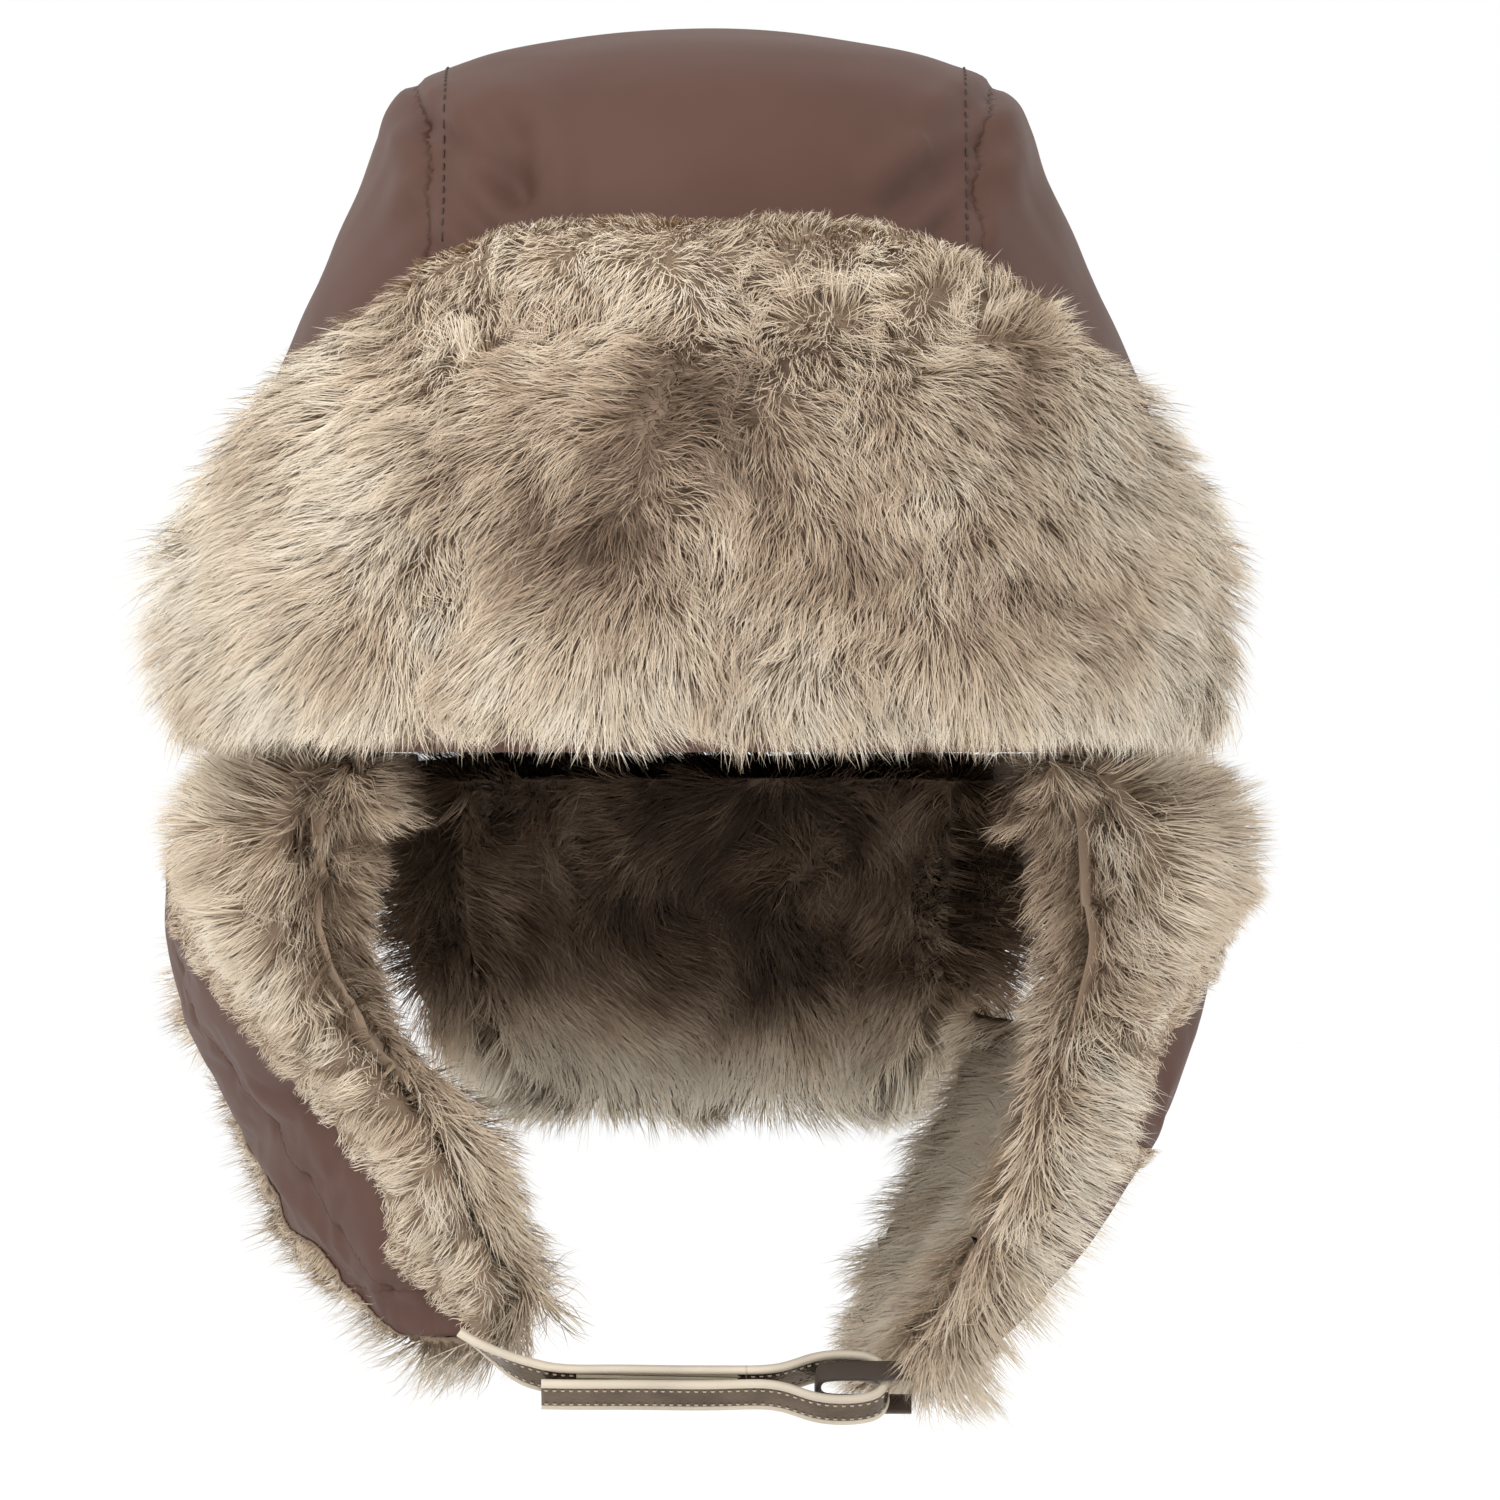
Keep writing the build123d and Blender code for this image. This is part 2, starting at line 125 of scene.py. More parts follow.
def ramp(nodes, stops):
    """A colour ramp with the given (place, colour) stops."""
    node = nodes.new("ShaderNodeValToRGB")
    elements = node.color_ramp.elements
    elements[0].position, elements[0].color = stops[0][0], (*stops[0][1], 1)
    elements[1].position, elements[1].color = stops[-1][0], (*stops[-1][1], 1)
    for place, colour in stops[1:-1]:
        element = elements.new(place)
        element.color = (*colour, 1)
    return node


def cloth_material(name, colour, roughness, weave, bump, sheen=0.0, spread=0.12, mottle=60.0, shine=0.5):
    """Woven cloth: two crossed thread waves for bump, and a soft change of shade."""
    material = plain_material(name, colour, roughness)
    tree = material.node_tree
    nodes, links = tree.nodes, tree.links
    shader = nodes["Principled BSDF"]
    shader.inputs["Sheen Weight"].default_value = sheen
    shader.inputs["Sheen Roughness"].default_value = 0.5
    shader.inputs["Specular IOR Level"].default_value = shine
    place = nodes.new("ShaderNodeTexCoord")
    noise = nodes.new("ShaderNodeTexNoise")
    noise.inputs["Scale"].default_value = mottle
    noise.inputs["Detail"].default_value = 4.0
    links.new(place.outputs["Object"], noise.inputs["Vector"])
    dark = tuple(c * (1 - spread) for c in colour)
    light = tuple(min(1.0, c * (1 + spread)) for c in colour)
    shade = ramp(nodes, [(0.3, dark), (0.7, light)])
    links.new(noise.outputs["Fac"], shade.inputs["Fac"])
    links.new(shade.outputs["Color"], shader.inputs["Base Color"])
    threads = []
    for turn in (45.0, -45.0):
        wave = nodes.new("ShaderNodeTexWave")
        wave.inputs["Scale"].default_value = weave
        mapping = nodes.new("ShaderNodeMapping")
        mapping.inputs["Rotation"].default_value = (0.3, math.radians(turn), 0.2)
        links.new(place.outputs["Object"], mapping.inputs["Vector"])
        links.new(mapping.outputs["Vector"], wave.inputs["Vector"])
        threads.append(wave.outputs["Fac"])
    crossed = nodes.new("ShaderNodeMath")
    crossed.operation = "MULTIPLY"
    links.new(threads[0], crossed.inputs[0])
    links.new(threads[1], crossed.inputs[1])
    bumped = nodes.new("ShaderNodeBump")
    bumped.inputs["Strength"].default_value = bump
    bumped.inputs["Distance"].default_value = 0.15 * MM
    links.new(crossed.outputs[0], bumped.inputs["Height"])
    links.new(bumped.outputs["Normal"], shader.inputs["Normal"])
    return material


def leather_material(name, colour, roughness, metallic):
    """Grained faux leather with a metallic face."""
    material = plain_material(name, colour, roughness)
    tree = material.node_tree
    nodes, links = tree.nodes, tree.links
    shader = nodes["Principled BSDF"]
    shader.inputs["Metallic"].default_value = metallic
    place = nodes.new("ShaderNodeTexCoord")
    grain = nodes.new("ShaderNodeTexVoronoi")
    grain.inputs["Scale"].default_value = 1300.0
    links.new(place.outputs["Object"], grain.inputs["Vector"])
    cloud = nodes.new("ShaderNodeTexNoise")
    cloud.inputs["Scale"].default_value = 160.0
    links.new(place.outputs["Object"], cloud.inputs["Vector"])
    dark = tuple(0.7 * c for c in colour)
    light = tuple(min(1.0, 1.3 * c) for c in colour)
    shade = ramp(nodes, [(0.3, dark), (0.7, light)])
    links.new(cloud.outputs["Fac"], shade.inputs["Fac"])
    links.new(shade.outputs["Color"], shader.inputs["Base Color"])
    bumped = nodes.new("ShaderNodeBump")
    bumped.inputs["Strength"].default_value = 0.35
    bumped.inputs["Distance"].default_value = 0.2 * MM
    links.new(grain.outputs["Distance"], bumped.inputs["Height"])
    links.new(bumped.outputs["Normal"], shader.inputs["Normal"])
    return material


def fur_material(name, stops, root):
    """Fur strands: their shade runs along U and root to tip along V."""
    material = plain_material(name, stops[1][1], 0.55)
    tree = material.node_tree
    nodes, links = tree.nodes, tree.links
    shader = nodes["Principled BSDF"]
    shader.inputs["Specular IOR Level"].default_value = 0.12
    layer = nodes.new("ShaderNodeUVMap")
    layer.uv_map = "OFBake"
    split = nodes.new("ShaderNodeSeparateXYZ")
    links.new(layer.outputs["UV"], split.inputs[0])
    tone = ramp(nodes, stops)
    links.new(split.outputs["X"], tone.inputs["Fac"])
    rise = ramp(nodes, [(0.0, root), (0.6, (1, 1, 1))])
    links.new(split.outputs["Y"], rise.inputs["Fac"])
    mix = nodes.new("ShaderNodeMix")
    mix.data_type = "RGBA"
    mix.blend_type = "MULTIPLY"
    mix.inputs["Factor"].default_value = 1.0
    links.new(tone.outputs["Color"], mix.inputs["A"])
    links.new(rise.outputs["Color"], mix.inputs["B"])
    links.new(mix.outputs["Result"], shader.inputs["Base Color"])
    return material


# ---- Mesh helpers ----
def new_object(name, verts, faces, material):
    mesh = bpy.data.meshes.new(name)
    mesh.from_pydata([tuple(v) for v in verts], [], faces)
    mesh.update()
    mesh.materials.append(material)
    made = bpy.data.objects.new(name, mesh)
    bpy.context.scene.collection.objects.link(made)
    return made


def applied(obj):
    """Turn an object's modifiers into its mesh."""
    graph = bpy.context.evaluated_depsgraph_get()
    graph.update()
    mesh = bpy.data.meshes.new_from_object(obj.evaluated_get(graph))
    obj.modifiers.clear()
    obj.data = mesh
    return obj


def coords(mesh):
    flat = np.empty(len(mesh.vertices) * 3, np.float32)
    mesh.vertices.foreach_get("co", flat)
    return flat.reshape(-1, 3).astype(float)


def normals(mesh):
    flat = np.empty(len(mesh.vertices) * 3, np.float32)
    mesh.vertex_normals.foreach_get("vector", flat)
    return flat.reshape(-1, 3).astype(float)


def face_centres(mesh):
    flat = np.empty(len(mesh.polygons) * 3, np.float32)
    mesh.polygons.foreach_get("center", flat)
    facing = np.empty(len(mesh.polygons) * 3, np.float32)
    mesh.polygons.foreach_get("normal", facing)
    return flat.reshape(-1, 3).astype(float), facing.reshape(-1, 3).astype(float)


def set_coords(mesh, points):
    mesh.vertices.foreach_set("co", points.astype(np.float32).ravel())
    mesh.update()


def smooth_shade(obj):
    obj.data.polygons.foreach_set("use_smooth", [True] * len(obj.data.polygons))
    return obj


def dress(obj, material, body, slot, *replaced):
    """Give a piece its material and body, and hide the CAD nodes it stands for; slot is not used."""
    obj.data.materials.clear()
    obj.data.materials.append(material)
    if replaced:
        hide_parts(*replaced)
    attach(obj, body)
    return obj


def tree_of(node):
    mesh = NODES[node].data
    return BVHTree.FromPolygons([v.co for v in mesh.vertices], [p.vertices for p in mesh.polygons])


def gaps_to(points, tree):
    """Distance from each point to a surface."""
    return np.array([tree.find_nearest(point)[3] for point in points])


def skin_of(nodes, name, voxel, push, rounds, subdivide=0):
    """A smooth closed skin round some CAD nodes together, moved along its normals by push."""
    joined = bmesh.new()
    for node in nodes:
        joined.from_mesh(NODES[node].data)
    mesh = bpy.data.meshes.new(name)
    joined.to_mesh(mesh)
    joined.free()
    made = bpy.data.objects.new(name, mesh)
    bpy.context.scene.collection.objects.link(made)
    remesh = made.modifiers.new("remesh", "REMESH")
    remesh.mode = "VOXEL"
    remesh.voxel_size = voxel
    soften = made.modifiers.new("soften", "SMOOTH")
    soften.factor = 0.6
    soften.iterations = rounds
    applied(made)
    points = coords(made.data)
    move = push(points) if callable(push) else push
    set_coords(made.data, points + normals(made.data) * np.reshape(move, (-1, 1)))
    if subdivide:
        finer = made.modifiers.new("finer", "SUBSURF")
        finer.levels = finer.render_levels = subdivide
        applied(made)
    return smooth_shade(made)


def copy_of(obj, name):
    made = bpy.data.objects.new(name, obj.data.copy())
    bpy.context.scene.collection.objects.link(made)
    return made


def keep_faces(source, name, wanted, shift, thickness):
    """A cloth of the chosen faces of a skin, moved along the normals and given a thickness inwards."""
    made = copy_of(source, name)
    set_coords(made.data, coords(made.data) + shift * normals(made.data))
    work = bmesh.new()
    work.from_mesh(made.data)
    work.faces.ensure_lookup_table()
    bmesh.ops.delete(work, geom=[face for face in work.faces if not wanted[face.index]], context="FACES")
    work.to_mesh(made.data)
    work.free()
    thick = made.modifiers.new("thick", "SOLIDIFY")
    thick.thickness = thickness
    thick.offset = -1
    return smooth_shade(applied(made))


def waves(points, size, seed, layers=5):
    """Smooth noise from -1 to 1 with features of about the given size."""
    dice = np.random.default_rng(seed)
    total = np.zeros(len(points))
    for _ in range(layers):
        turn = dice.normal(size=3)
        turn /= np.linalg.norm(turn)
        stretch = dice.uniform(0.6, 1.6)
        swirl = dice.normal(size=3)
        swirl /= np.linalg.norm(swirl)
        bend = 0.8 * np.sin(points @ swirl * (2 * math.pi / (size * 2.3)) + dice.uniform(0, 6.3))
        total += np.sin(points @ turn * (2 * math.pi * stretch / size) + bend + dice.uniform(0, 6.3))
    return np.clip(total / (0.7 * layers), -1, 1)


def unit(vectors):
    return vectors / np.maximum(np.linalg.norm(vectors, axis=1, keepdims=True), 1e-9)


def puffed(pad, held, pressure, cap, roomier=0.0):
    """Fill a pad with air by cloth simulation. The held points stay, and no point moves past the cap."""
    scene = bpy.context.scene
    group = pad.vertex_groups.new(name="held")
    group.add([int(index) for index in np.flatnonzero(held)], 1.0, "REPLACE")
    before = coords(pad.data)
    cloth = pad.modifiers.new("cloth", "CLOTH")
    cloth.settings.quality = 6
    cloth.settings.mass = 0.3
    cloth.settings.bending_stiffness = 0.3
    cloth.settings.use_pressure = True
    cloth.settings.uniform_pressure_force = pressure
    cloth.settings.vertex_group_mass = "held"
    cloth.settings.shrink_min = -roomier
    cloth.settings.effector_weights.gravity = 0
    cloth.collision_settings.use_collision = False
    cloth.point_cache.frame_start = 1
    cloth.point_cache.frame_end = 20
    for number in range(1, 21):
        scene.frame_set(number)
    graph = bpy.context.evaluated_depsgraph_get()
    after = coords(pad.evaluated_get(graph).data)
    pad.modifiers.clear()
    pad.vertex_groups.clear()
    scene.frame_set(1)
    move = after - before
    far = np.linalg.norm(move, axis=1, keepdims=True)
    set_coords(pad.data, before + move * np.minimum(1, cap / np.maximum(far, 1e-9)))
    return pad


def bounds_of(nodes):
    boxes = np.array([[list(c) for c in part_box(node)] for node in nodes])
    return boxes[:, 0].min(axis=0), boxes[:, 1].max(axis=0)


# ---- Fur ----
STEPS = np.array([0.0, 0.34, 0.7, 1.0])  # places along a strand
WIDTHS = np.array([0.9, 1.0, 0.7, 0.0])  # its width there, as a share of STRAND_WIDTH
STRAND_WIDTH = 0.19 * MM
SKIN_VOXEL = 2.6 * MM
BACKWARD = 0.85  # the +Y part of the normal above which a root looks to the back


def scatter(skin, count, seed):
    """Roots spread evenly by area over a skin: places, normals."""
    mesh = skin.data
    mesh.calc_loop_triangles()
    tri = np.empty(len(mesh.loop_triangles) * 3, np.int32)
    mesh.loop_triangles.foreach_get("vertices", tri)
    tri = tri.reshape(-1, 3)
    points, facing = coords(mesh), normals(mesh)
    a, b, c = (points[tri[:, i]] for i in range(3))
    area = np.linalg.norm(np.cross(b - a, c - a), axis=1)
    dice = np.random.default_rng(seed)
    pick = dice.choice(len(tri), count, p=area / area.sum())
    u, v = dice.random(count), dice.random(count)
    flip = u + v > 1
    u[flip], v[flip] = 1 - u[flip], 1 - v[flip]
    w = 1 - u - v
    place = a[pick] * w[:, None] + b[pick] * u[:, None] + c[pick] * v[:, None]
    mix = [facing[tri[pick, i]] for i in range(3)]
    normal = unit(mix[0] * w[:, None] + mix[1] * u[:, None] + mix[2] * v[:, None])
    return place, normal


def in_the_open(place, normal, nodes, reach=16 * MM):
    """Which roots look away from some CAD nodes: nothing of them lies within reach along the normal."""
    keep = np.ones(len(place), bool)
    for node in nodes:
        tree = tree_of(node)
        for index in np.flatnonzero(keep):
            if tree.ray_cast(place[index], normal[index], reach)[0] is not None:
                keep[index] = False
    return keep


def strand_paths(place, normal, flow, length, lay, clump, dice):
    """The bent line of each strand, drawn towards its clump's leader. Also says who leads whom."""
    count = len(place)
    flow = unit(flow - normal * np.sum(flow * normal, axis=1, keepdims=True))
    side = np.cross(normal, flow)
    flow = unit(flow + side * dice.normal(0, 0.2, count)[:, None])
    length = length * dice.uniform(0.7, 1.12, count)
    lay = np.clip(lay + dice.normal(0, 0.14, count), 0.1, 1.5)
    path = np.zeros((count, len(STEPS), 3))
    path[:, 0] = place
    for step in range(1, len(STEPS)):
        share = (STEPS[step] + STEPS[step - 1]) / 2
        tilt = (lay * (0.45 + 0.75 * share))[:, None]
        heading = normal * np.cos(tilt) + flow * np.sin(tilt)
        path[:, step] = path[:, step - 1] + heading * (length * (STEPS[step] - STEPS[step - 1]))[:, None]
    leaders = dice.choice(count, max(8, int(count / clump)), replace=False)
    tree = KDTree(len(leaders))
    for index, leader in enumerate(leaders):
        tree.insert(place[leader], index)
    tree.balance()
    nearest = np.array([leaders[tree.find(point)[1]] for point in place])
    pull = dice.uniform(0.1, 0.6, count)[:, None, None] * (STEPS**1.5)[None, :, None]
    path = path + (path[nearest] - path) * pull
    path += dice.normal(0, 0.3 * MM, path.shape) * STEPS[None, :, None]
    return path, nearest


def strands(name, place, normal, flow, length, tone, lay, clump, seed, material):
    """One mesh of tapered strands. flow is the way they lie, lay how far (radians from the normal)."""
    dice = np.random.default_rng(seed)
    count = len(place)
    path, nearest = strand_paths(place, normal, flow, length, lay, clump, dice)
    tone = tone * 0.8 + tone[nearest] * 0.2
    along = np.diff(path, axis=1, append=path[:, -1:] * 2 - path[:, -2:-1])
    across = np.cross(along, normal[:, None, :] + dice.normal(0, 0.35, (count, 1, 3)))
    across /= np.maximum(np.linalg.norm(across, axis=2, keepdims=True), 1e-9)
    half = across * (WIDTHS[None, :, None] * STRAND_WIDTH / 2)
    rows = len(STEPS) - 1
    per = rows * 2 + 1
    verts = np.zeros((count, per, 3))
    verts[:, 0 : rows * 2 : 2] = path[:, :rows] - half[:, :rows]
    verts[:, 1 : rows * 2 : 2] = path[:, :rows] + half[:, :rows]
    verts[:, -1] = path[:, -1]
    quads = np.array([(2 * r, 2 * r + 1, 2 * r + 3, 2 * r + 2) for r in range(rows - 1)])
    tip = np.array([2 * rows - 2, 2 * rows - 1, 2 * rows])
    base = (np.arange(count) * per)[:, None]
    loops = np.concatenate([(base + quads.ravel()[None, :]), base + tip[None, :]], axis=1)
    sizes = np.tile(np.array([4] * (rows - 1) + [3]), count)
    mesh = bpy.data.meshes.new(name)
    mesh.vertices.add(count * per)
    mesh.vertices.foreach_set("co", verts.astype(np.float32).ravel())
    mesh.loops.add(loops.size)
    mesh.loops.foreach_set("vertex_index", loops.astype(np.int32).ravel())
    mesh.polygons.add(len(sizes))
    mesh.polygons.foreach_set("loop_start", np.concatenate([[0], np.cumsum(sizes)[:-1]]).astype(np.int32))
    mesh.polygons.foreach_set("use_smooth", np.ones(len(sizes), bool))
    rise = np.concatenate([np.repeat(STEPS[:rows], 2), [1.0]])
    shade = np.clip(tone + dice.normal(0, 0.08, count), 0.01, 0.99)
    grid = (count, per)
    pairs = np.stack([np.broadcast_to(shade[:, None], grid), np.broadcast_to(rise, grid)], axis=2)
    mesh.uv_layers.new(name="OFBake")
    flat = pairs.reshape(-1, 2)[loops.ravel()]
    mesh.uv_layers["OFBake"].data.foreach_set("uv", flat.astype(np.float32).ravel())
    mesh.update(calc_edges=True)
    mesh.materials.append(material)
    soft = unit(np.repeat(normal, per, axis=0) + np.repeat(unit(path[:, -1] - place), per, axis=0) * 0.3)
    mesh.normals_split_custom_set_from_vertices(soft.astype(np.float32).tolist())
    made = bpy.data.objects.new(name, mesh)
    bpy.context.scene.collection.objects.link(made)
    return made


def fur_piece(node, body, behind, push, rounds, field, count, clump, seed, pieces):
    """The skin and strands of one fur node. field gives flow, length, tone and lay of the roots.

    Roots that look at one of the nodes behind the pile are left out. Where no such nodes are given,
    roots that look to the back are left out.
    """
    skin = skin_of([node], f"{node}_skin", SKIN_VOXEL, push, rounds)
    dress(skin, skin_mat, body, "fur", node)
    place, normal = scatter(skin, count, seed)
    keep = in_the_open(place, normal, behind) if behind else normal[:, 1] < BACKWARD
    place, normal = place[keep], normal[keep]
    plant(f"{node}_pile", body, place, normal, field(place, normal), clump, seed, pieces)


def plant(name, body, place, normal, ways, clump, seed, pieces):
    """Strands at the given roots, shared out over some pieces.

    ways holds their flow, length, tone and lay. clump is how many strands follow one leader.
    """
    flow, length, tone, lay = ways
    order = np.random.default_rng(seed + 1).permutation(len(place))
    for part in range(pieces):
        chosen = order[part::pieces]
        made = strands(
            f"{name}_{part + 1}", place[chosen], normal[chosen], flow[chosen], length[chosen],
            tone[chosen], lay[chosen], clump, seed + 10 + part, fur_mat,
        )
        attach(made, body)


FUR_STOPS = [
    (0.0, (0.075, 0.046, 0.03)),
    (0.25, (0.27, 0.185, 0.125)),
    (0.5, (0.63, 0.48, 0.345)),
    (0.75, (0.88, 0.735, 0.56)),
    (1.0, (0.97, 0.88, 0.73)),
]
fur_mat = fur_material("fur", FUR_STOPS, (0.56, 0.48, 0.39))
skin_mat = cloth_material("fur_skin", (0.3, 0.215, 0.15), 0.9, 900, 0.3)
nylon_mat = cloth_material("nylon", (0.108, 0.0555, 0.041), 0.55, 2600, 0.2, spread=0.05, shine=0.18)
lining_mat = cloth_material("lining_cloth", (0.25, 0.195, 0.15), 0.8, 1800, 0.3)
wadding_mat = cloth_material("wadding", (0.8, 0.79, 0.76), 0.95, 700, 0.8)

make_stage()

# ---- Front flap ----
front_low, front_high = bounds_of(["front_flap_fur"])
DARK_PATCHES = (  # x, z, width, height in mm, and depth of the flap's darker patches
    (-2, 62, 15, 11, 0.42),
    (-19, 38, 12, 13, 0.40),
    (27, 36, 12, 9, 0.30),
    (56, 66, 7, 14, 0.32),
    (58, 30, 16, 12, 0.22),
    (-36, 52, 14, 14, 0.12),
    (8, 50, 30, 16, 0.14),
)


def front_push(points):
    """How far the backing moves: deeper at the left end and along the bottom, little at the thin top."""
    across = points[:, 0] / front_high[0]
    height = (points[:, 2] - front_low[2]) / (front_high[2] - front_low[2])
    ends = np.clip((np.abs(across) - 0.72) / 0.28, 0, 1) * np.where(across > 0, 2.0, 0.0)
    bottom = np.clip((0.16 - height) / 0.16, 0, 1)
    overhang = np.clip((height - 0.82) / 0.12, 0, 1)
    return -(4.6 + ends + 2.5 * bottom) * (1 - 0.75 * overhang) * MM


def front_field(place, normal):
    """Combed outwards and down, with swirls, dark patches, painted rim light at the ends and along the
    bottom, and shorter strands along the top.
    """
    height = (place[:, 2] - front_low[2]) / (front_high[2] - front_low[2])
    across = place[:, 0] / front_high[0]
    flow = np.zeros_like(place)
    flow[:, 0] = 0.65 * across + 0.65 * waves(place, 42 * MM, 3) + 0.45 * waves(place, 12 * MM, 13)
    fall = np.clip((0.9 - height) * 2.0, 0.3, 0.8)
    flow[:, 2] = -fall + 0.5 * waves(place, 36 * MM, 4) + 0.45 * waves(place, 12 * MM, 14)
    flow[:, 1] = 0.3 * waves(place, 40 * MM, 5)
    length = (13.5 + 2.5 * waves(place, 24 * MM, 6)) * MM
    corner = np.clip((np.abs(across) - 0.8) / 0.2, 0, 1) * np.clip((0.3 - height) / 0.3, 0, 1)
    length *= 1 - 0.6 * np.clip(normal[:, 2], 0, 1) - 0.35 * np.clip(-normal[:, 2], 0, 1)
    length *= 1 - 0.35 * np.clip((height - 0.75) / 0.15, 0, 1)
    right_end = np.clip((-0.62 - across) / 0.38, 0, 1)
    length += 3 * MM * right_end - 4 * MM * corner
    flow[:, 0] -= 0.9 * right_end * (1 - corner)
    flow[:, 0] -= 1.4 * corner * np.sign(across)
    tone = 0.70 + 0.13 * waves(place, 24 * MM, 7) + 0.13 * waves(place, 9 * MM, 8)
    for x, z, wide, tall, depth in DARK_PATCHES:
        near = ((place[:, 0] - x * MM) / (wide * MM)) ** 2 + ((place[:, 2] - z * MM) / (tall * MM)) ** 2
        tone -= depth * np.exp(-near)
    # Painted rim light: the fur is made lighter towards the ends and along the bottom edge.
    tone += 0.24 * np.clip(np.abs(across) ** 2 + np.clip((0.2 - height) * 4, 0, 1), 0, 1)
    lay = 1.02 + 0.26 * waves(place, 17 * MM, 9)
    return flow, length, tone, lay


fur_piece(
    "front_flap_fur", "front_flap", [], front_push, 14, front_field,
    count=112000, clump=22, seed=100, pieces=3,
)


# ---- Ear flaps ----
def edge_line(points, way=1):
    """The line along a flap's front edge (or rear edge, way -1), as heights and the x and y there."""
    heights = np.arange(points[:, 2].min() + 3 * MM, points[:, 2].max(), 6 * MM)
    spots = []
    for height in heights:
        near = points[np.abs(points[:, 2] - height) < 5 * MM]
        ahead = near[np.argsort(way * near[:, 1])[: max(4, len(near) // 25)]]
        spots.append(ahead.mean(axis=0))
    spots = np.array(spots)
    return heights, spots[:, 0], spots[:, 1]


def ear_field(side):
    """Parted along the front edge: outwards over the nylon and inwards down the face. The parting is darkened
    as painted shade, and the pile turned outwards at the front edge is lightened as painted rim light.
    """
    sign = 1 if side == "left" else -1

    def field(place, normal):
        heights, edge_x, edge_y = edge_line(place)
        part = (place[:, 0] - np.interp(place[:, 2], heights, edge_x)) * sign
        part += 2.5 * MM * waves(place, 30 * MM, 21)
        ahead = np.clip(1 - (place[:, 1] - np.interp(place[:, 2], heights, edge_y)) / (26 * MM), 0, 1)
        outer = 1 / (1 + np.exp(-part / (1.5 * MM)))
        low = np.clip((-40 * MM - place[:, 2]) / (30 * MM), 0, 1)
        flow = np.zeros_like(place)
        flow[:, 0] = sign * (2 * outer - 1) * 0.95 + 0.3 * waves(place, 18 * MM, 24)
        flow[:, 2] = -0.5 + 0.35 * waves(place, 30 * MM, 23) - 0.25 * (1 - ahead)
        flow[:, 1] = 0.35 * (1 - ahead) + 0.3 * waves(place, 22 * MM, 25) + 0.15 * outer
        length = (7.5 + 4 * low + 1.5 * waves(place, 22 * MM, 26) + 4 * outer) * MM
        tone = 0.6 + 0.14 * waves(place, 22 * MM, 27) + 0.13 * waves(place, 8 * MM, 28) + 0.28 * low
        # Painted shade: darker along the parting near the front edge.
        tone -= 0.3 * np.exp(-((part / (6 * MM)) ** 2)) * ahead
        # Painted rim light: lighter where the pile turns outwards at the front edge, which leaves the inner
        # face darker as painted shade.
        tone += 0.2 * outer * ahead
        lay = 1.1 + 0.22 * waves(place, 17 * MM, 29) - 0.3 * outer
        return flow, length, tone, lay

    return field


def ear_push(points):
    """The pile's backing stands deeper where the roll bulges inwards near the brim."""
    bulge = np.clip((76 * MM - np.abs(points[:, 0])) / (14 * MM), 0, 1)
    return -(4.6 + 8.0 * bulge * np.clip((points[:, 2] + 66 * MM) / (30 * MM), 0, 1)) * MM


for side in ("right", "left"):
    base = f"ear_flap_{side}"
    fur_piece(
        f"{base}_fur", base, [f"{base}_wadding", f"{base}_lining"], ear_push, 8, ear_field(side),
        count=72000, clump=20, seed=200, pieces=2,
    )

# ---- Neck flap ----
back_low, back_high = bounds_of(["back_flap_fur"])


def back_field(place, normal):
    """Swirled sideways, falling at the bottom, with painted shade: dark in the middle and high up inside the
    crown, lightening to tan along the fringe and towards the sides.
    """
    height = (place[:, 2] - back_low[2]) / (back_high[2] - back_low[2])
    across = place[:, 0] / back_high[0]
    flow = np.zeros_like(place)
    flow[:, 2] = -0.25 - 0.9 * np.clip(1 - height * 2, 0, 1) + 0.3 * waves(place, 26 * MM, 32)
    flow[:, 0] = 0.55 * across + 0.8 * waves(place, 34 * MM, 33)
    flow[:, 1] = 0.2 * waves(place, 40 * MM, 34)
    ends = np.clip((np.abs(across) - 0.75) / 0.25, 0, 1)
    flow[:, 0] += 1.5 * ends * np.sign(across)
    length = (14 + 3 * waves(place, 25 * MM, 36) + 7 * ends) * MM
    # Painted shade and light: very dark at the top and in the middle, deep inside the crown, and lighter
    # towards the fringe and the sides.
    tone = 0.13 + 0.14 * waves(place, 16 * MM, 37) + 0.1 * waves(place, 7 * MM, 38)
    tone += 1.1 * np.clip(1.2 - height * 3.0, 0, 1) + 0.16 * np.abs(across)
    # Painted shade: a darker spot just beside the middle.
    tone -= 0.12 * np.exp(-((across - 0.2) ** 2) * 9)
    lay = 0.9 + 0.2 * waves(place, 22 * MM, 39) + 0.2 * ends
    return flow, length, tone, lay


fur_piece(
    "back_flap_fur", "back_flap", [], -4.5 * MM, 14, back_field,
    count=60000, clump=20, seed=300, pieces=2,
)

# ---- Crown: three padded nylon panels over one smooth dome ----
PANEL_SEAM = 51 * MM
CROWN_FOLDS = (  # start x, z, end x, z, width, depth of each soft fold beside the seams, in mm
    (-50, 116, -34, 101, 3.2, 1.5),
    (-49, 108, -37, 88, 3.6, 2.0),
    (-36, 112, -35, 92, 4.5, 2.2),
    (-52, 98, -44, 84, 3.0, 1.0),
    (50, 112, 33, 97, 3.6, 1.9),
    (51, 104, 38, 90, 3.2, 1.5),
    (49, 120, 40, 112, 3.0, 1.0),
)


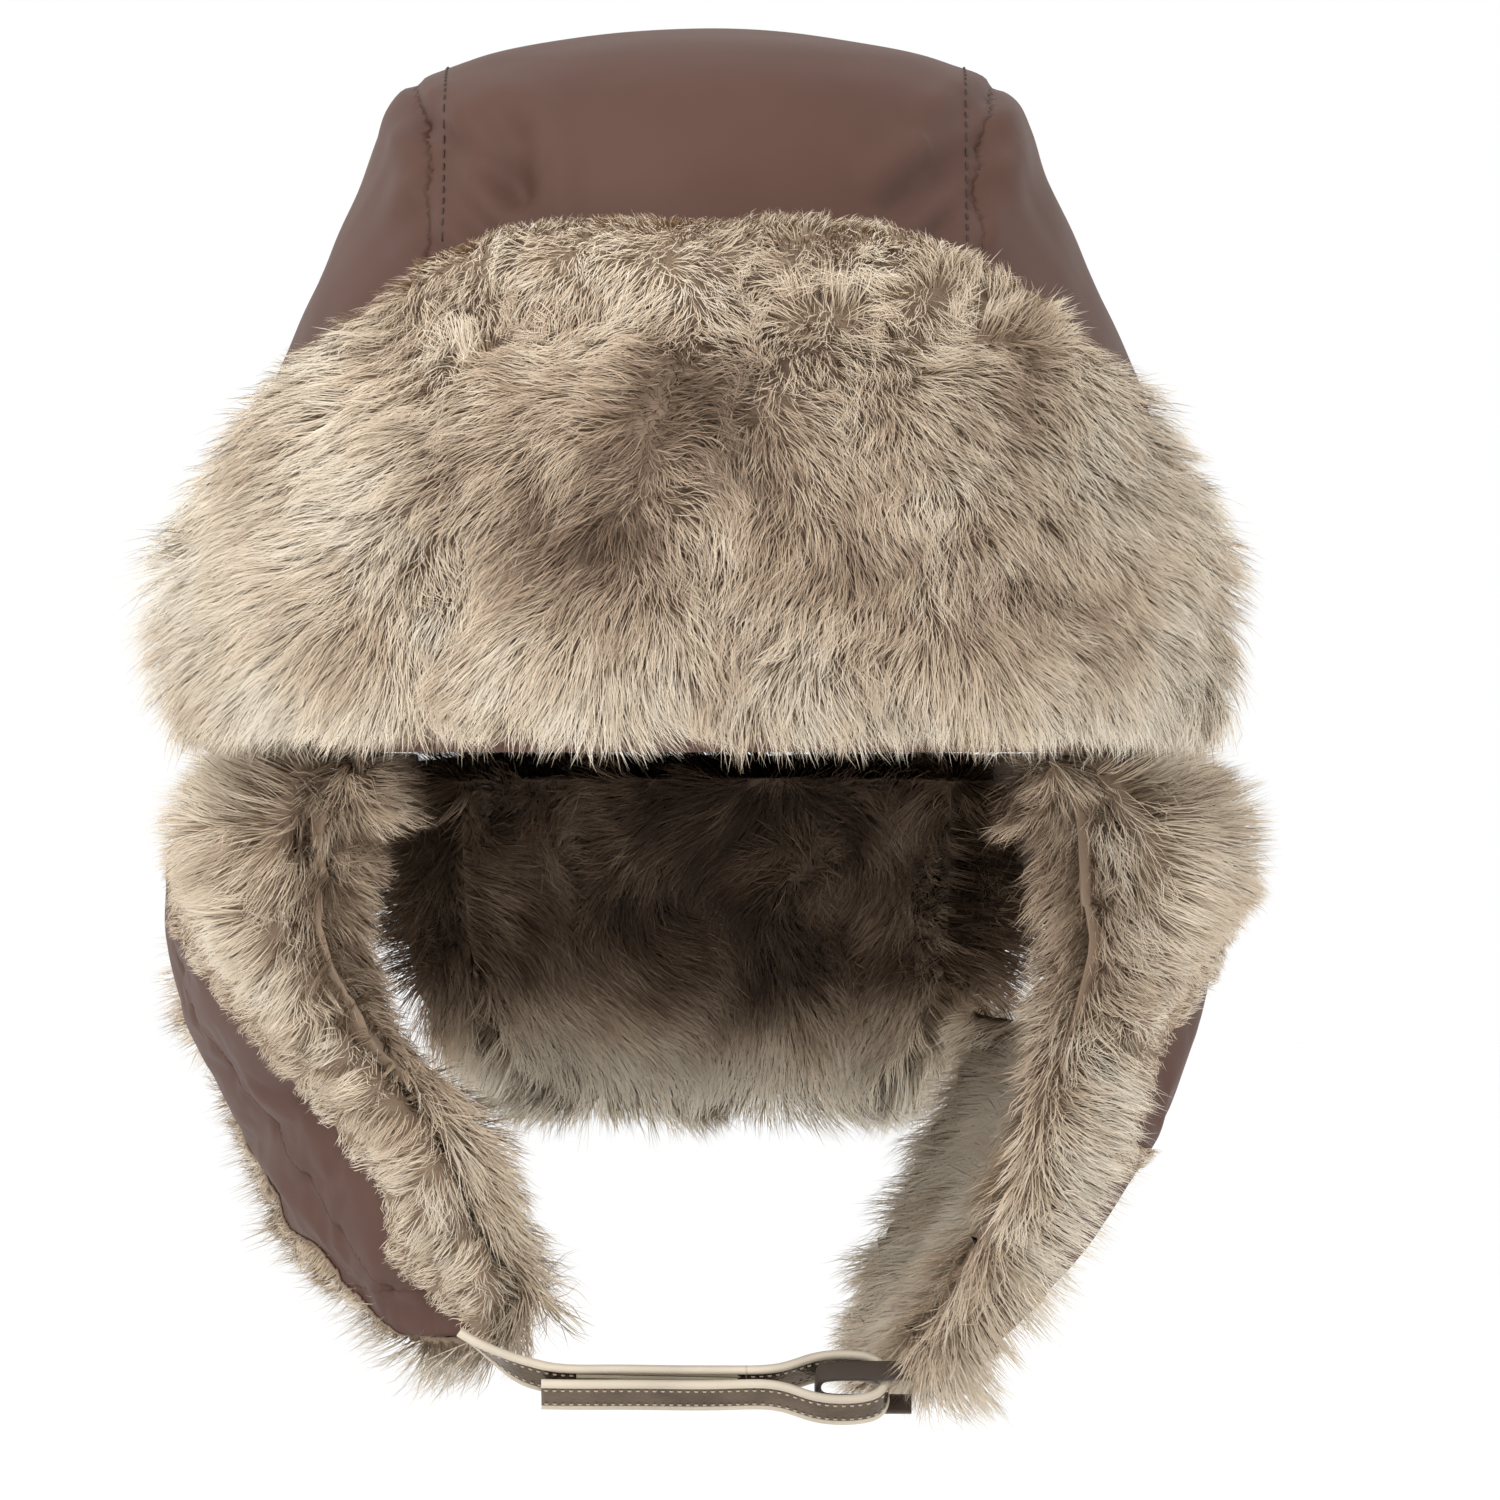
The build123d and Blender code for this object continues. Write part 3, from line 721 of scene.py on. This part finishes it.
def dent(points, start, end, wide, deep):
    """How far a soft fold pushes points in: a groove with a low ridge each side."""
    start, end = np.array(start) * MM, np.array(end) * MM
    run = end - start
    flat = points[:, [0, 2]]
    share = np.clip(((flat - start) @ run) / (run @ run), 0, 1)
    away = np.linalg.norm(flat - start - share[:, None] * run, axis=1) / (wide * MM)
    fade = np.sin(np.pi * np.clip(share * 0.8 + 0.2, 0, 1)) ** 0.5
    return deep * MM * (np.exp(-(away**2)) - 0.45 * np.exp(-((away - 1.9) ** 2))) * fade


def crown_shape(mesh):
    """Push in the seams, pucker the cloth beside them and add the soft folds."""
    points, facing = coords(mesh), normals(mesh)
    gap = np.abs(np.abs(points[:, 0]) - PANEL_SEAM)
    around = np.arctan2(points[:, 2] - 20 * MM, points[:, 1]) * 90 * MM
    pucker = waves(np.stack([around, points[:, 0] * 0.25, 0 * around], axis=1), 11 * MM, 50)
    push = 0.9 * MM * np.exp(-((gap / (1.3 * MM)) ** 2)) - 0.4 * MM * np.exp(-((gap / (7 * MM)) ** 2))
    push += 0.45 * MM * pucker * np.exp(-gap / (9 * MM))
    push += 0.5 * MM * waves(points, 55 * MM, 51) + 0.25 * MM * waves(points, 24 * MM, 52)
    front = points[:, 1] < 0
    for x1, z1, x2, z2, wide, deep in CROWN_FOLDS:
        push[front] += 2.0 * dent(points[front], (x1, z1), (x2, z2), wide, deep)
        push[~front] += 1.4 * dent(points[~front], (-x1, z1), (-x2, z2), wide, deep)
    points -= facing * push[:, None]
    rise = np.clip((points[:, 2] - 106 * MM) / (28 * MM), 0, 1)
    points[:, 0] *= 1 + 0.075 * rise * rise * (3 - 2 * rise)
    points[:, 2] = np.maximum(points[:, 2], -0.4 * MM)
    set_coords(mesh, points)


def stitch_row(name, points, facing, length, gap, thick, material, body):
    """Short rounded stitches along a line of surface points."""
    place = np.concatenate([[0], np.cumsum(np.linalg.norm(np.diff(points, axis=0), axis=1))])
    ring = [(math.cos(t), math.sin(t)) for t in np.linspace(0, 2 * math.pi, 6, endpoint=False)]
    stations = ((0.0, 0.45, -0.1), (0.2, 1.0, 0.25), (0.8, 1.0, 0.25), (1.0, 0.45, -0.1))
    verts, faces = [], []
    for start in np.arange(gap, place[-1] - length, length + gap):
        ends = (start, start + length)
        a, b = (np.array([np.interp(end, place, points[:, i]) for i in range(3)]) for end in ends)
        up = facing[min(np.searchsorted(place, start), len(facing) - 1)]
        side = np.cross((b - a) / np.linalg.norm(b - a), up)
        first = len(verts)
        for share, scale, lift in stations:
            spot = a + (b - a) * share + up * lift * thick
            verts += [spot + (side * c + up * d) * thick / 2 * scale for c, d in ring]
        for band in range(len(stations) - 1):
            for k in range(6):
                p, q = first + band * 6 + k, first + band * 6 + (k + 1) % 6
                faces.append((p, q, q + 6, p + 6))
        faces.append(tuple(first + k for k in reversed(range(6))))
        faces.append(tuple(first + 18 + k for k in range(6)))
    made = smooth_shade(new_object(name, verts, faces, material))
    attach(made, body)
    return made


crown_skin = skin_of(["crown_wadding"], "crown_skin", 2.6 * MM, 2.4 * MM, 26, 1)
centre, facing = face_centres(crown_skin.data)
lining_gap = gaps_to(centre, tree_of("crown_lining"))
outer = (lining_gap > 3.5 * MM) | (centre[:, 2] < 2.5 * MM)
crown_shape(crown_skin.data)
for node, wanted in (
    ("crown_center_panel", np.abs(centre[:, 0]) <= PANEL_SEAM),
    ("crown_side_panel_left", centre[:, 0] > PANEL_SEAM),
    ("crown_side_panel_right", centre[:, 0] < -PANEL_SEAM),
):
    panel = keep_faces(crown_skin, f"{node}_cloth", outer & wanted, 0.0, 0.6 * MM)
    dress(panel, nylon_mat, "crown", "nylon", node)
lining = keep_faces(crown_skin, "crown_lining_cloth", ~outer, 1.6 * MM, 0.5 * MM)
dress(lining, lining_mat, "crown", "lining", "crown_lining")
band = keep_faces(crown_skin, "head_band_cloth", ~outer & (centre[:, 2] < 26 * MM), 3.6 * MM, 1.4 * MM)
points, facing = coords(band.data), normals(band.data)
bearing = np.arctan2(points[:, 1], points[:, 0]) * 75 * MM
set_coords(band.data, points + facing * (0.35 * MM * np.sin(bearing * 2 * math.pi / (4 * MM)))[:, None])
dress(band, lining_mat, "crown", "lining", "head_band")
crown_tree = BVHTree.FromPolygons(
    [v.co for v in crown_skin.data.vertices], [p.vertices for p in crown_skin.data.polygons]
)
thread_mat = plain_material("thread", (0.045, 0.022, 0.016), 0.6)
for side in (-1, 1):
    spots, ups = [], []
    for turn in np.linspace(0, math.pi, 260):
        ray = Vector((0, -math.cos(turn), math.sin(turn)))
        start = Vector((side * (PANEL_SEAM - 2.6 * MM), 0, 20 * MM)) + ray * 0.3
        hit, up, _, _ = crown_tree.ray_cast(start, -ray)
        if hit:
            spots.append(np.array(hit))
            ups.append(np.array(up))
    stitch_row(
        f"crown_seam_stitches_{'left' if side > 0 else 'right'}", np.array(spots), np.array(ups),
        2.0 * MM, 1.1 * MM, 0.5 * MM, thread_mat, "crown",
    )
set_coords(crown_skin.data, coords(crown_skin.data) - 1.3 * MM * normals(crown_skin.data))
crown_skin.name = "crown_wadding_pad"
dress(crown_skin, wadding_mat, "crown", "wadding", "crown_wadding")


# ---- Flap nylon and wadding ----
def seam_points(first, second):
    """Points where two panels meet, from the top down."""
    tree = KDTree(len(NODES[second].data.vertices))
    for index, vert in enumerate(NODES[second].data.vertices):
        tree.insert(vert.co, index)
    tree.balance()
    near = [v.co for v in NODES[first].data.vertices if tree.find(v.co)[2] < 0.5 * MM]
    return np.array(sorted(near, key=lambda co: -co[2]))


def distance_to(points, spots):
    """Distance from each point to the nearest of some spots."""
    return np.sqrt(((points[:, None] - spots[None]) ** 2).sum(axis=2).min(axis=1))


def flap_pad(base):
    """The wadding inside a flap's nylon."""
    pad = skin_of([f"{base}_wadding"], f"{base}_wadding_pad", 2.2 * MM, -2.2 * MM, 6)
    dress(pad, wadding_mat, base, "wadding", f"{base}_wadding")


BARE = {  # x and z in mm of the outlines inside which the nylon of each flap's front edge shows
    "right": [[
        (-125, -27), (-103, -27), (-95.5, -39), (-86, -52), (-69.5, -70), (-60.5, -82), (-58.5, -96),
        (-44.5, -107.5), (-40, -130), (-125, -130),
    ]],
    "left": [
        [(96, -40), (85, -55), (82, -64), (79.5, -71.5), (84, -75), (110, -84), (110, -36)],
        [(71.5, -80.5), (64, -88), (57.5, -98), (52, -108.5), (56, -112), (66, -103), (76, -93), (84, -80.5)],
    ],
}
WRAP_REACH = (11 * MM, 37 * MM)  # how far back the pile is turned over the nylon, low down and at the top


def bare_distance(flat, outlines):
    """Distance of points to some outlines, in mm. Negative inside them."""
    gap = np.full(len(flat), 1e3)
    inside = np.zeros(len(flat), bool)
    for outline in outlines:
        for (x1, z1), (x2, z2) in zip(outline, outline[1:] + outline[:1]):
            run = np.array([x2 - x1, z2 - z1])
            share = np.clip(((flat - (x1, z1)) @ run) / (run @ run), 0, 1)
            gap = np.minimum(gap, np.linalg.norm(flat - (x1, z1) - share[:, None] * run, axis=1))
            crossing = (z1 > flat[:, 1]) != (z2 > flat[:, 1])
            inside ^= crossing & (flat[:, 0] < x1 + (flat[:, 1] - z1) * (x2 - x1) / (z2 - z1 + 1e-9))
    return np.where(inside, -gap, gap)


def wrap_fur(side, pillow, clump):
    """Pile turned over the front edge of a flap, on backing that hides the nylon except inside BARE."""
    base = f"ear_flap_{side}"
    sign = 1 if side == "left" else -1
    heights, _, edge_y = edge_line(coords(pillow.data))
    rear_y = edge_line(coords(pillow.data), -1)[2]
    trees = [tree_of(f"{base}_{part}") for part in ("front_panel", "rear_panel", "tip")]

    def covered(points):
        """How far inside the covered strips points are, in mm, and below 0 outside them."""
        gap = bare_distance(points[:, [0, 2]] / MM, BARE[side])
        behind = points[:, 1] - np.interp(points[:, 2], heights, edge_y)
        outward = np.stack([gaps_to(points, tree) for tree in trees]).min(axis=0) < 5 * MM
        ragged = 2.5 * MM * waves(points, 14 * MM, 40)
        front = np.interp(points[:, 2], (-80 * MM, -40 * MM), WRAP_REACH) + ragged - behind
        rear = 8 * MM + ragged - (np.interp(points[:, 2], heights, rear_y) - points[:, 1])
        front = np.minimum(front / MM, gap)
        rear = np.where(points[:, 2] < -58 * MM, rear / MM + 3, np.minimum(rear / MM, gap))
        return np.where(outward, np.maximum(front, rear), -1.0)

    centre, _ = face_centres(pillow.data)
    backing = keep_faces(pillow, f"{base}_turned_backing", covered(centre) > 0.5, 0.5 * MM, 0.4 * MM)
    dress(backing, skin_mat, base, "fur")
    place, normal = scatter(pillow, 60000, 400)
    gap = covered(place)
    place, normal, gap = place[gap > 0.5], normal[gap > 0.5], gap[gap > 0.5]
    flow = np.zeros_like(place)
    flow[:, 0] = sign * (0.8 + 0.4 * waves(place, 18 * MM, 41))
    flow[:, 1] = 0.35 + 0.3 * waves(place, 20 * MM, 42)
    high = np.clip((place[:, 2] + 26 * MM) / (26 * MM), 0, 1)
    flow[:, 2] = -0.55 + 0.5 * waves(place, 22 * MM, 43) + 1.1 * high**2
    length = np.clip(gap * 0.75, 3.0, 12 + 2 * waves(place, 20 * MM, 44) + 6 * high) * MM
    tone = 0.74 + 0.13 * waves(place, 22 * MM, 45) + 0.12 * waves(place, 8 * MM, 46)
    lay = 0.9 + 0.2 * waves(place, 17 * MM, 47) - 0.25 * high
    plant(f"{base}_turned_pile", base, place, normal, (flow, length, tone, lay), clump, 420, 1)


for side in ("right", "left"):
    base = f"ear_flap_{side}"
    parts = ["front_panel", "rear_panel", "tip"]
    pillow = skin_of([f"{base}_wadding"], f"{base}_pillow", 1.9 * MM, 1.1 * MM, 6)
    seam = seam_points(f"{base}_front_panel", f"{base}_rear_panel")
    points = coords(pillow.data)
    seam_gap = distance_to(points, seam[:: max(1, len(seam) // 200)])
    panel_gaps = np.stack([gaps_to(points, tree_of(f"{base}_{part}")) for part in parts])
    inward = panel_gaps.min(axis=0) > 2.2 * MM
    puffed(pillow, inward | (seam_gap < 1.6 * MM), 5.0, 2.4 * MM, 0.03)
    finer = pillow.modifiers.new("finer", "SUBSURF")
    finer.levels = finer.render_levels = 1
    applied(pillow)
    smooth_shade(pillow)
    points, facing = coords(pillow.data), normals(pillow.data)
    gap = distance_to(points, seam[:: max(1, len(seam) // 100)])
    push = 0.7 * MM * np.exp(-((gap / (1.5 * MM)) ** 2)) + 0.25 * MM * waves(points, 30 * MM, 62)
    set_coords(pillow.data, points - facing * push[:, None])
    centre, _ = face_centres(pillow.data)
    which = np.stack([gaps_to(centre, tree_of(f"{base}_{part}")) for part in parts]).argmin(axis=0)
    for index, part in enumerate(parts):
        cloth = keep_faces(pillow, f"{base}_{part}_cloth", which == index, 0.0, 0.5 * MM)
        dress(cloth, nylon_mat, base, "nylon", f"{base}_{part}")
    wrap_fur(side, pillow, 80)
    bpy.data.objects.remove(pillow)
    flap_pad(base)
    sign = 1 if side == "left" else -1
    strip = skin_of([f"{base}_lining"], f"{base}_lining_cloth", 1.1 * MM, 0.2 * MM, 6)
    points = coords(strip.data)
    share = np.clip((points[:, 1] - (points[:, 1].max() - 16 * MM)) / (16 * MM), 0, 1) ** 1.5
    points[:, 0] += share * (sign * 55 * MM - points[:, 0])
    points[:, 1] += 6 * MM * share
    set_coords(strip.data, points)
    dress(strip, lining_mat, base, "lining", f"{base}_lining")

for base in ("front_flap", "back_flap"):
    cloth = skin_of([f"{base}_wadding"], f"{base}_cloth", 2.4 * MM, 1.2 * MM, 8, 1)
    points, facing = coords(cloth.data), normals(cloth.data)
    push = 0.4 * MM * waves(points, 18 * MM, 71) + 0.4 * MM * waves(points, 40 * MM, 72)
    set_coords(cloth.data, points - facing * push[:, None])
    dress(cloth, nylon_mat, base, "nylon", f"{base}_shell")
    flap_pad(base)

# ---- Chin strap ----
ACROSS = np.array(JOINTS["strap_tail_peel"]["axis"], float)
PIVOT = np.array(JOINTS["strap_tail_peel"]["pos_m"], float)
ROOT = np.array(JOINTS["chin_strap_swing"]["pos_m"], float)
ALONG = np.array([1.0, 0.0, 0.0])
OUT = np.cross(ACROSS, ALONG)
STRAP_HALF = 4.5 * MM
PIPING_RADIUS = 0.85 * MM
LOOP_FAR = 5.7 * MM


def strap_point(x, n):
    """A place on the strap: x along from the loop, n out towards the front, in mm."""
    return PIVOT + (ALONG * x + OUT * n) * MM


def smooth_path(knots, count):
    """Points evenly spaced along a smooth curve that follows some knots."""
    curve = bpy.data.curves.new("path", "CURVE")
    curve.dimensions = "3D"
    spline = curve.splines.new("NURBS")
    spline.points.add(len(knots) - 1)
    for point, knot in zip(spline.points, knots):
        point.co = (*knot, 1)
    spline.order_u = 4
    spline.use_endpoint_u = True
    spline.resolution_u = 12
    holder = bpy.data.objects.new("path", curve)
    bpy.context.scene.collection.objects.link(holder)
    dense = coords(bpy.data.meshes.new_from_object(holder))
    bpy.data.objects.remove(holder)
    spans = np.concatenate([[0], np.cumsum(np.linalg.norm(np.diff(dense, axis=0), axis=1))])
    even = np.linspace(0, spans[-1], count)
    return np.stack([np.interp(even, spans, dense[:, i]) for i in range(3)], axis=1)


def swept(name, path, across, profile, material):
    """A profile of (across, out) points swept along a path.

    across holds the direction of the width at each point of the path.
    """
    ahead = unit(np.gradient(path, axis=0))
    wide = unit(across - ahead * np.sum(across * ahead, axis=1, keepdims=True))
    out = np.cross(ahead, wide)
    ring = np.array(profile)
    verts = path[:, None] + wide[:, None] * ring[None, :, :1] + out[:, None] * ring[None, :, 1:]
    verts = verts.reshape(-1, 3)
    n, m = len(path), len(ring)
    faces = [
        (i * m + k, i * m + (k + 1) % m, (i + 1) * m + (k + 1) % m, (i + 1) * m + k)
        for i in range(n - 1)
        for k in range(m)
    ]
    faces.append(tuple(range(m))[::-1])
    faces.append(tuple((n - 1) * m + k for k in range(m)))
    made = new_object(name, verts, faces, material)
    work = bmesh.new()
    work.from_mesh(made.data)
    bmesh.ops.recalc_face_normals(work, faces=work.faces)
    work.to_mesh(made.data)
    work.free()
    return smooth_shade(made)


def round_profile(centre, radius, sides=12):
    turns = np.linspace(0, 2 * math.pi, sides, endpoint=False)
    return [(centre + radius * math.cos(turn), radius * math.sin(turn)) for turn in turns]


def flat_profile(half, thick, crown=0.0, sides=9):
    """A flat band with a slightly crowned face."""
    top = [(x, thick / 2 + crown * (1 - (x / half) ** 2)) for x in np.linspace(-half, half, sides)]
    return top + [(-x, -z) for x, z in top]


leather_mat = leather_material("strap_leather", (0.145, 0.108, 0.076), 0.27, 0.8)
binding_mat = cloth_material("strap_binding", (0.66, 0.575, 0.455), 0.4, 1500, 0.1)
webbing_mat = cloth_material("webbing", (0.055, 0.035, 0.023), 0.5, 1400, 0.6, sheen=0.1)
tape_mat = cloth_material("hook_and_loop", (0.45, 0.38, 0.28), 0.95, 3000, 1.0)
label_mat = cloth_material("label", (0.8, 0.79, 0.75), 0.5, 2000, 0.3)
stitch_mat = plain_material("strap_thread", (0.62, 0.52, 0.4), 0.5)


def strap_piece(name, path, across, body, stitched):
    """One run of the strap: a metallic face, piping along both edges and a row of stitches beside each."""
    band = flat_profile(STRAP_HALF - 0.9 * MM, 1.0 * MM, 0.12 * MM)
    core = swept(f"{name}_face", path, across, band, leather_mat)
    dress(core, leather_mat, body, "strap_leather", name)
    ahead = unit(np.gradient(path, axis=0))
    out = np.cross(ahead, unit(across))
    for edge, word in ((-1, "upper"), (1, "lower")):
        profile = round_profile(edge * (STRAP_HALF - PIPING_RADIUS), PIPING_RADIUS)
        pipe = swept(f"{name}_piping_{word}", path, across, profile, binding_mat)
        dress(pipe, binding_mat, body, "strap_binding", *([f"{name}_binding"] if edge < 0 else []))
        for face in stitched:
            line = path + across * edge * (STRAP_HALF - 2.2 * MM) + out * face * 0.6 * MM
            stitch_row(
                f"{name}_stitches_{word}_{'front' if face > 0 else 'back'}", line, out * face,
                0.8 * MM, 0.75 * MM, 0.34 * MM, stitch_mat, body,
            )


tail_knots = [
    (-13.5, -1.5), (-9, -1.5), (-5, -2.6), (-1, -4.6), (5, -5.2), (11.6, -4.2), (12.6, 0), (11.6, 4.2),
    (5, 5.2), (-1, 4.6), (-5, 2.6), (-9, 1.5), (-13.5, 1.5), (-22, 1.9), (-35, 1.5), (-45, 1.7), (-51.7, 1.5),
]
tail_path = smooth_path([strap_point(*knot) for knot in tail_knots], 150)
strap_piece("strap_tail", tail_path, np.tile(ACROSS, (len(tail_path), 1)), "strap_tail", (-1, 1))

root_steps = ((0.2, 0, 0.3), (4, 0, -2.2), (9, 0, -5.5), (13.5, 0, -7.6))
closed_knots = ((-48, -1.5), (-38, -1.8), (-28, -1.5), (-19, -1.5), (-13.45, -1.5))
main_knots = [ROOT + np.array(step) * MM for step in root_steps]
main_knots += [strap_point(*knot) for knot in closed_knots]
main_path = smooth_path(main_knots, 110)
turned = np.clip((main_path[:, 0] - ROOT[0]) / (14 * MM), 0, 1)[:, None]
turned = turned * turned * (3 - 2 * turned)
main_across = unit(np.array([[0.0, 1.0, 0.0]]) * (1 - turned) + ACROSS[None, :] * turned)
strap_piece("chin_strap", main_path, main_across, "chin_strap", (-1,))

loop_half = ((17.2, LOOP_FAR), (8, LOOP_FAR), (2.2, LOOP_FAR), (0.0, 4.9 * MM), (-0.3, 2 * MM))
loop_knots = [PIVOT + ALONG * x * MM + ACROSS * w for x, w in loop_half]
loop_knots += [PIVOT + ALONG * x * MM - ACROSS * w for x, w in reversed(loop_half)]
loop_path = smooth_path(loop_knots, 60)
loop_profile = flat_profile(1.9 * MM, 0.9 * MM, 0.2 * MM)
loop = swept("strap_loop_webbing", loop_path, np.tile(OUT, (60, 1)), loop_profile, webbing_mat)
dress(loop, webbing_mat, "strap_loop", "webbing", "strap_loop")

for node, material in (("hook_tape", tape_mat), ("loop_tape", tape_mat), ("care_label", label_mat)):
    for material_slot in NODES[node].material_slots:
        material_slot.material = material
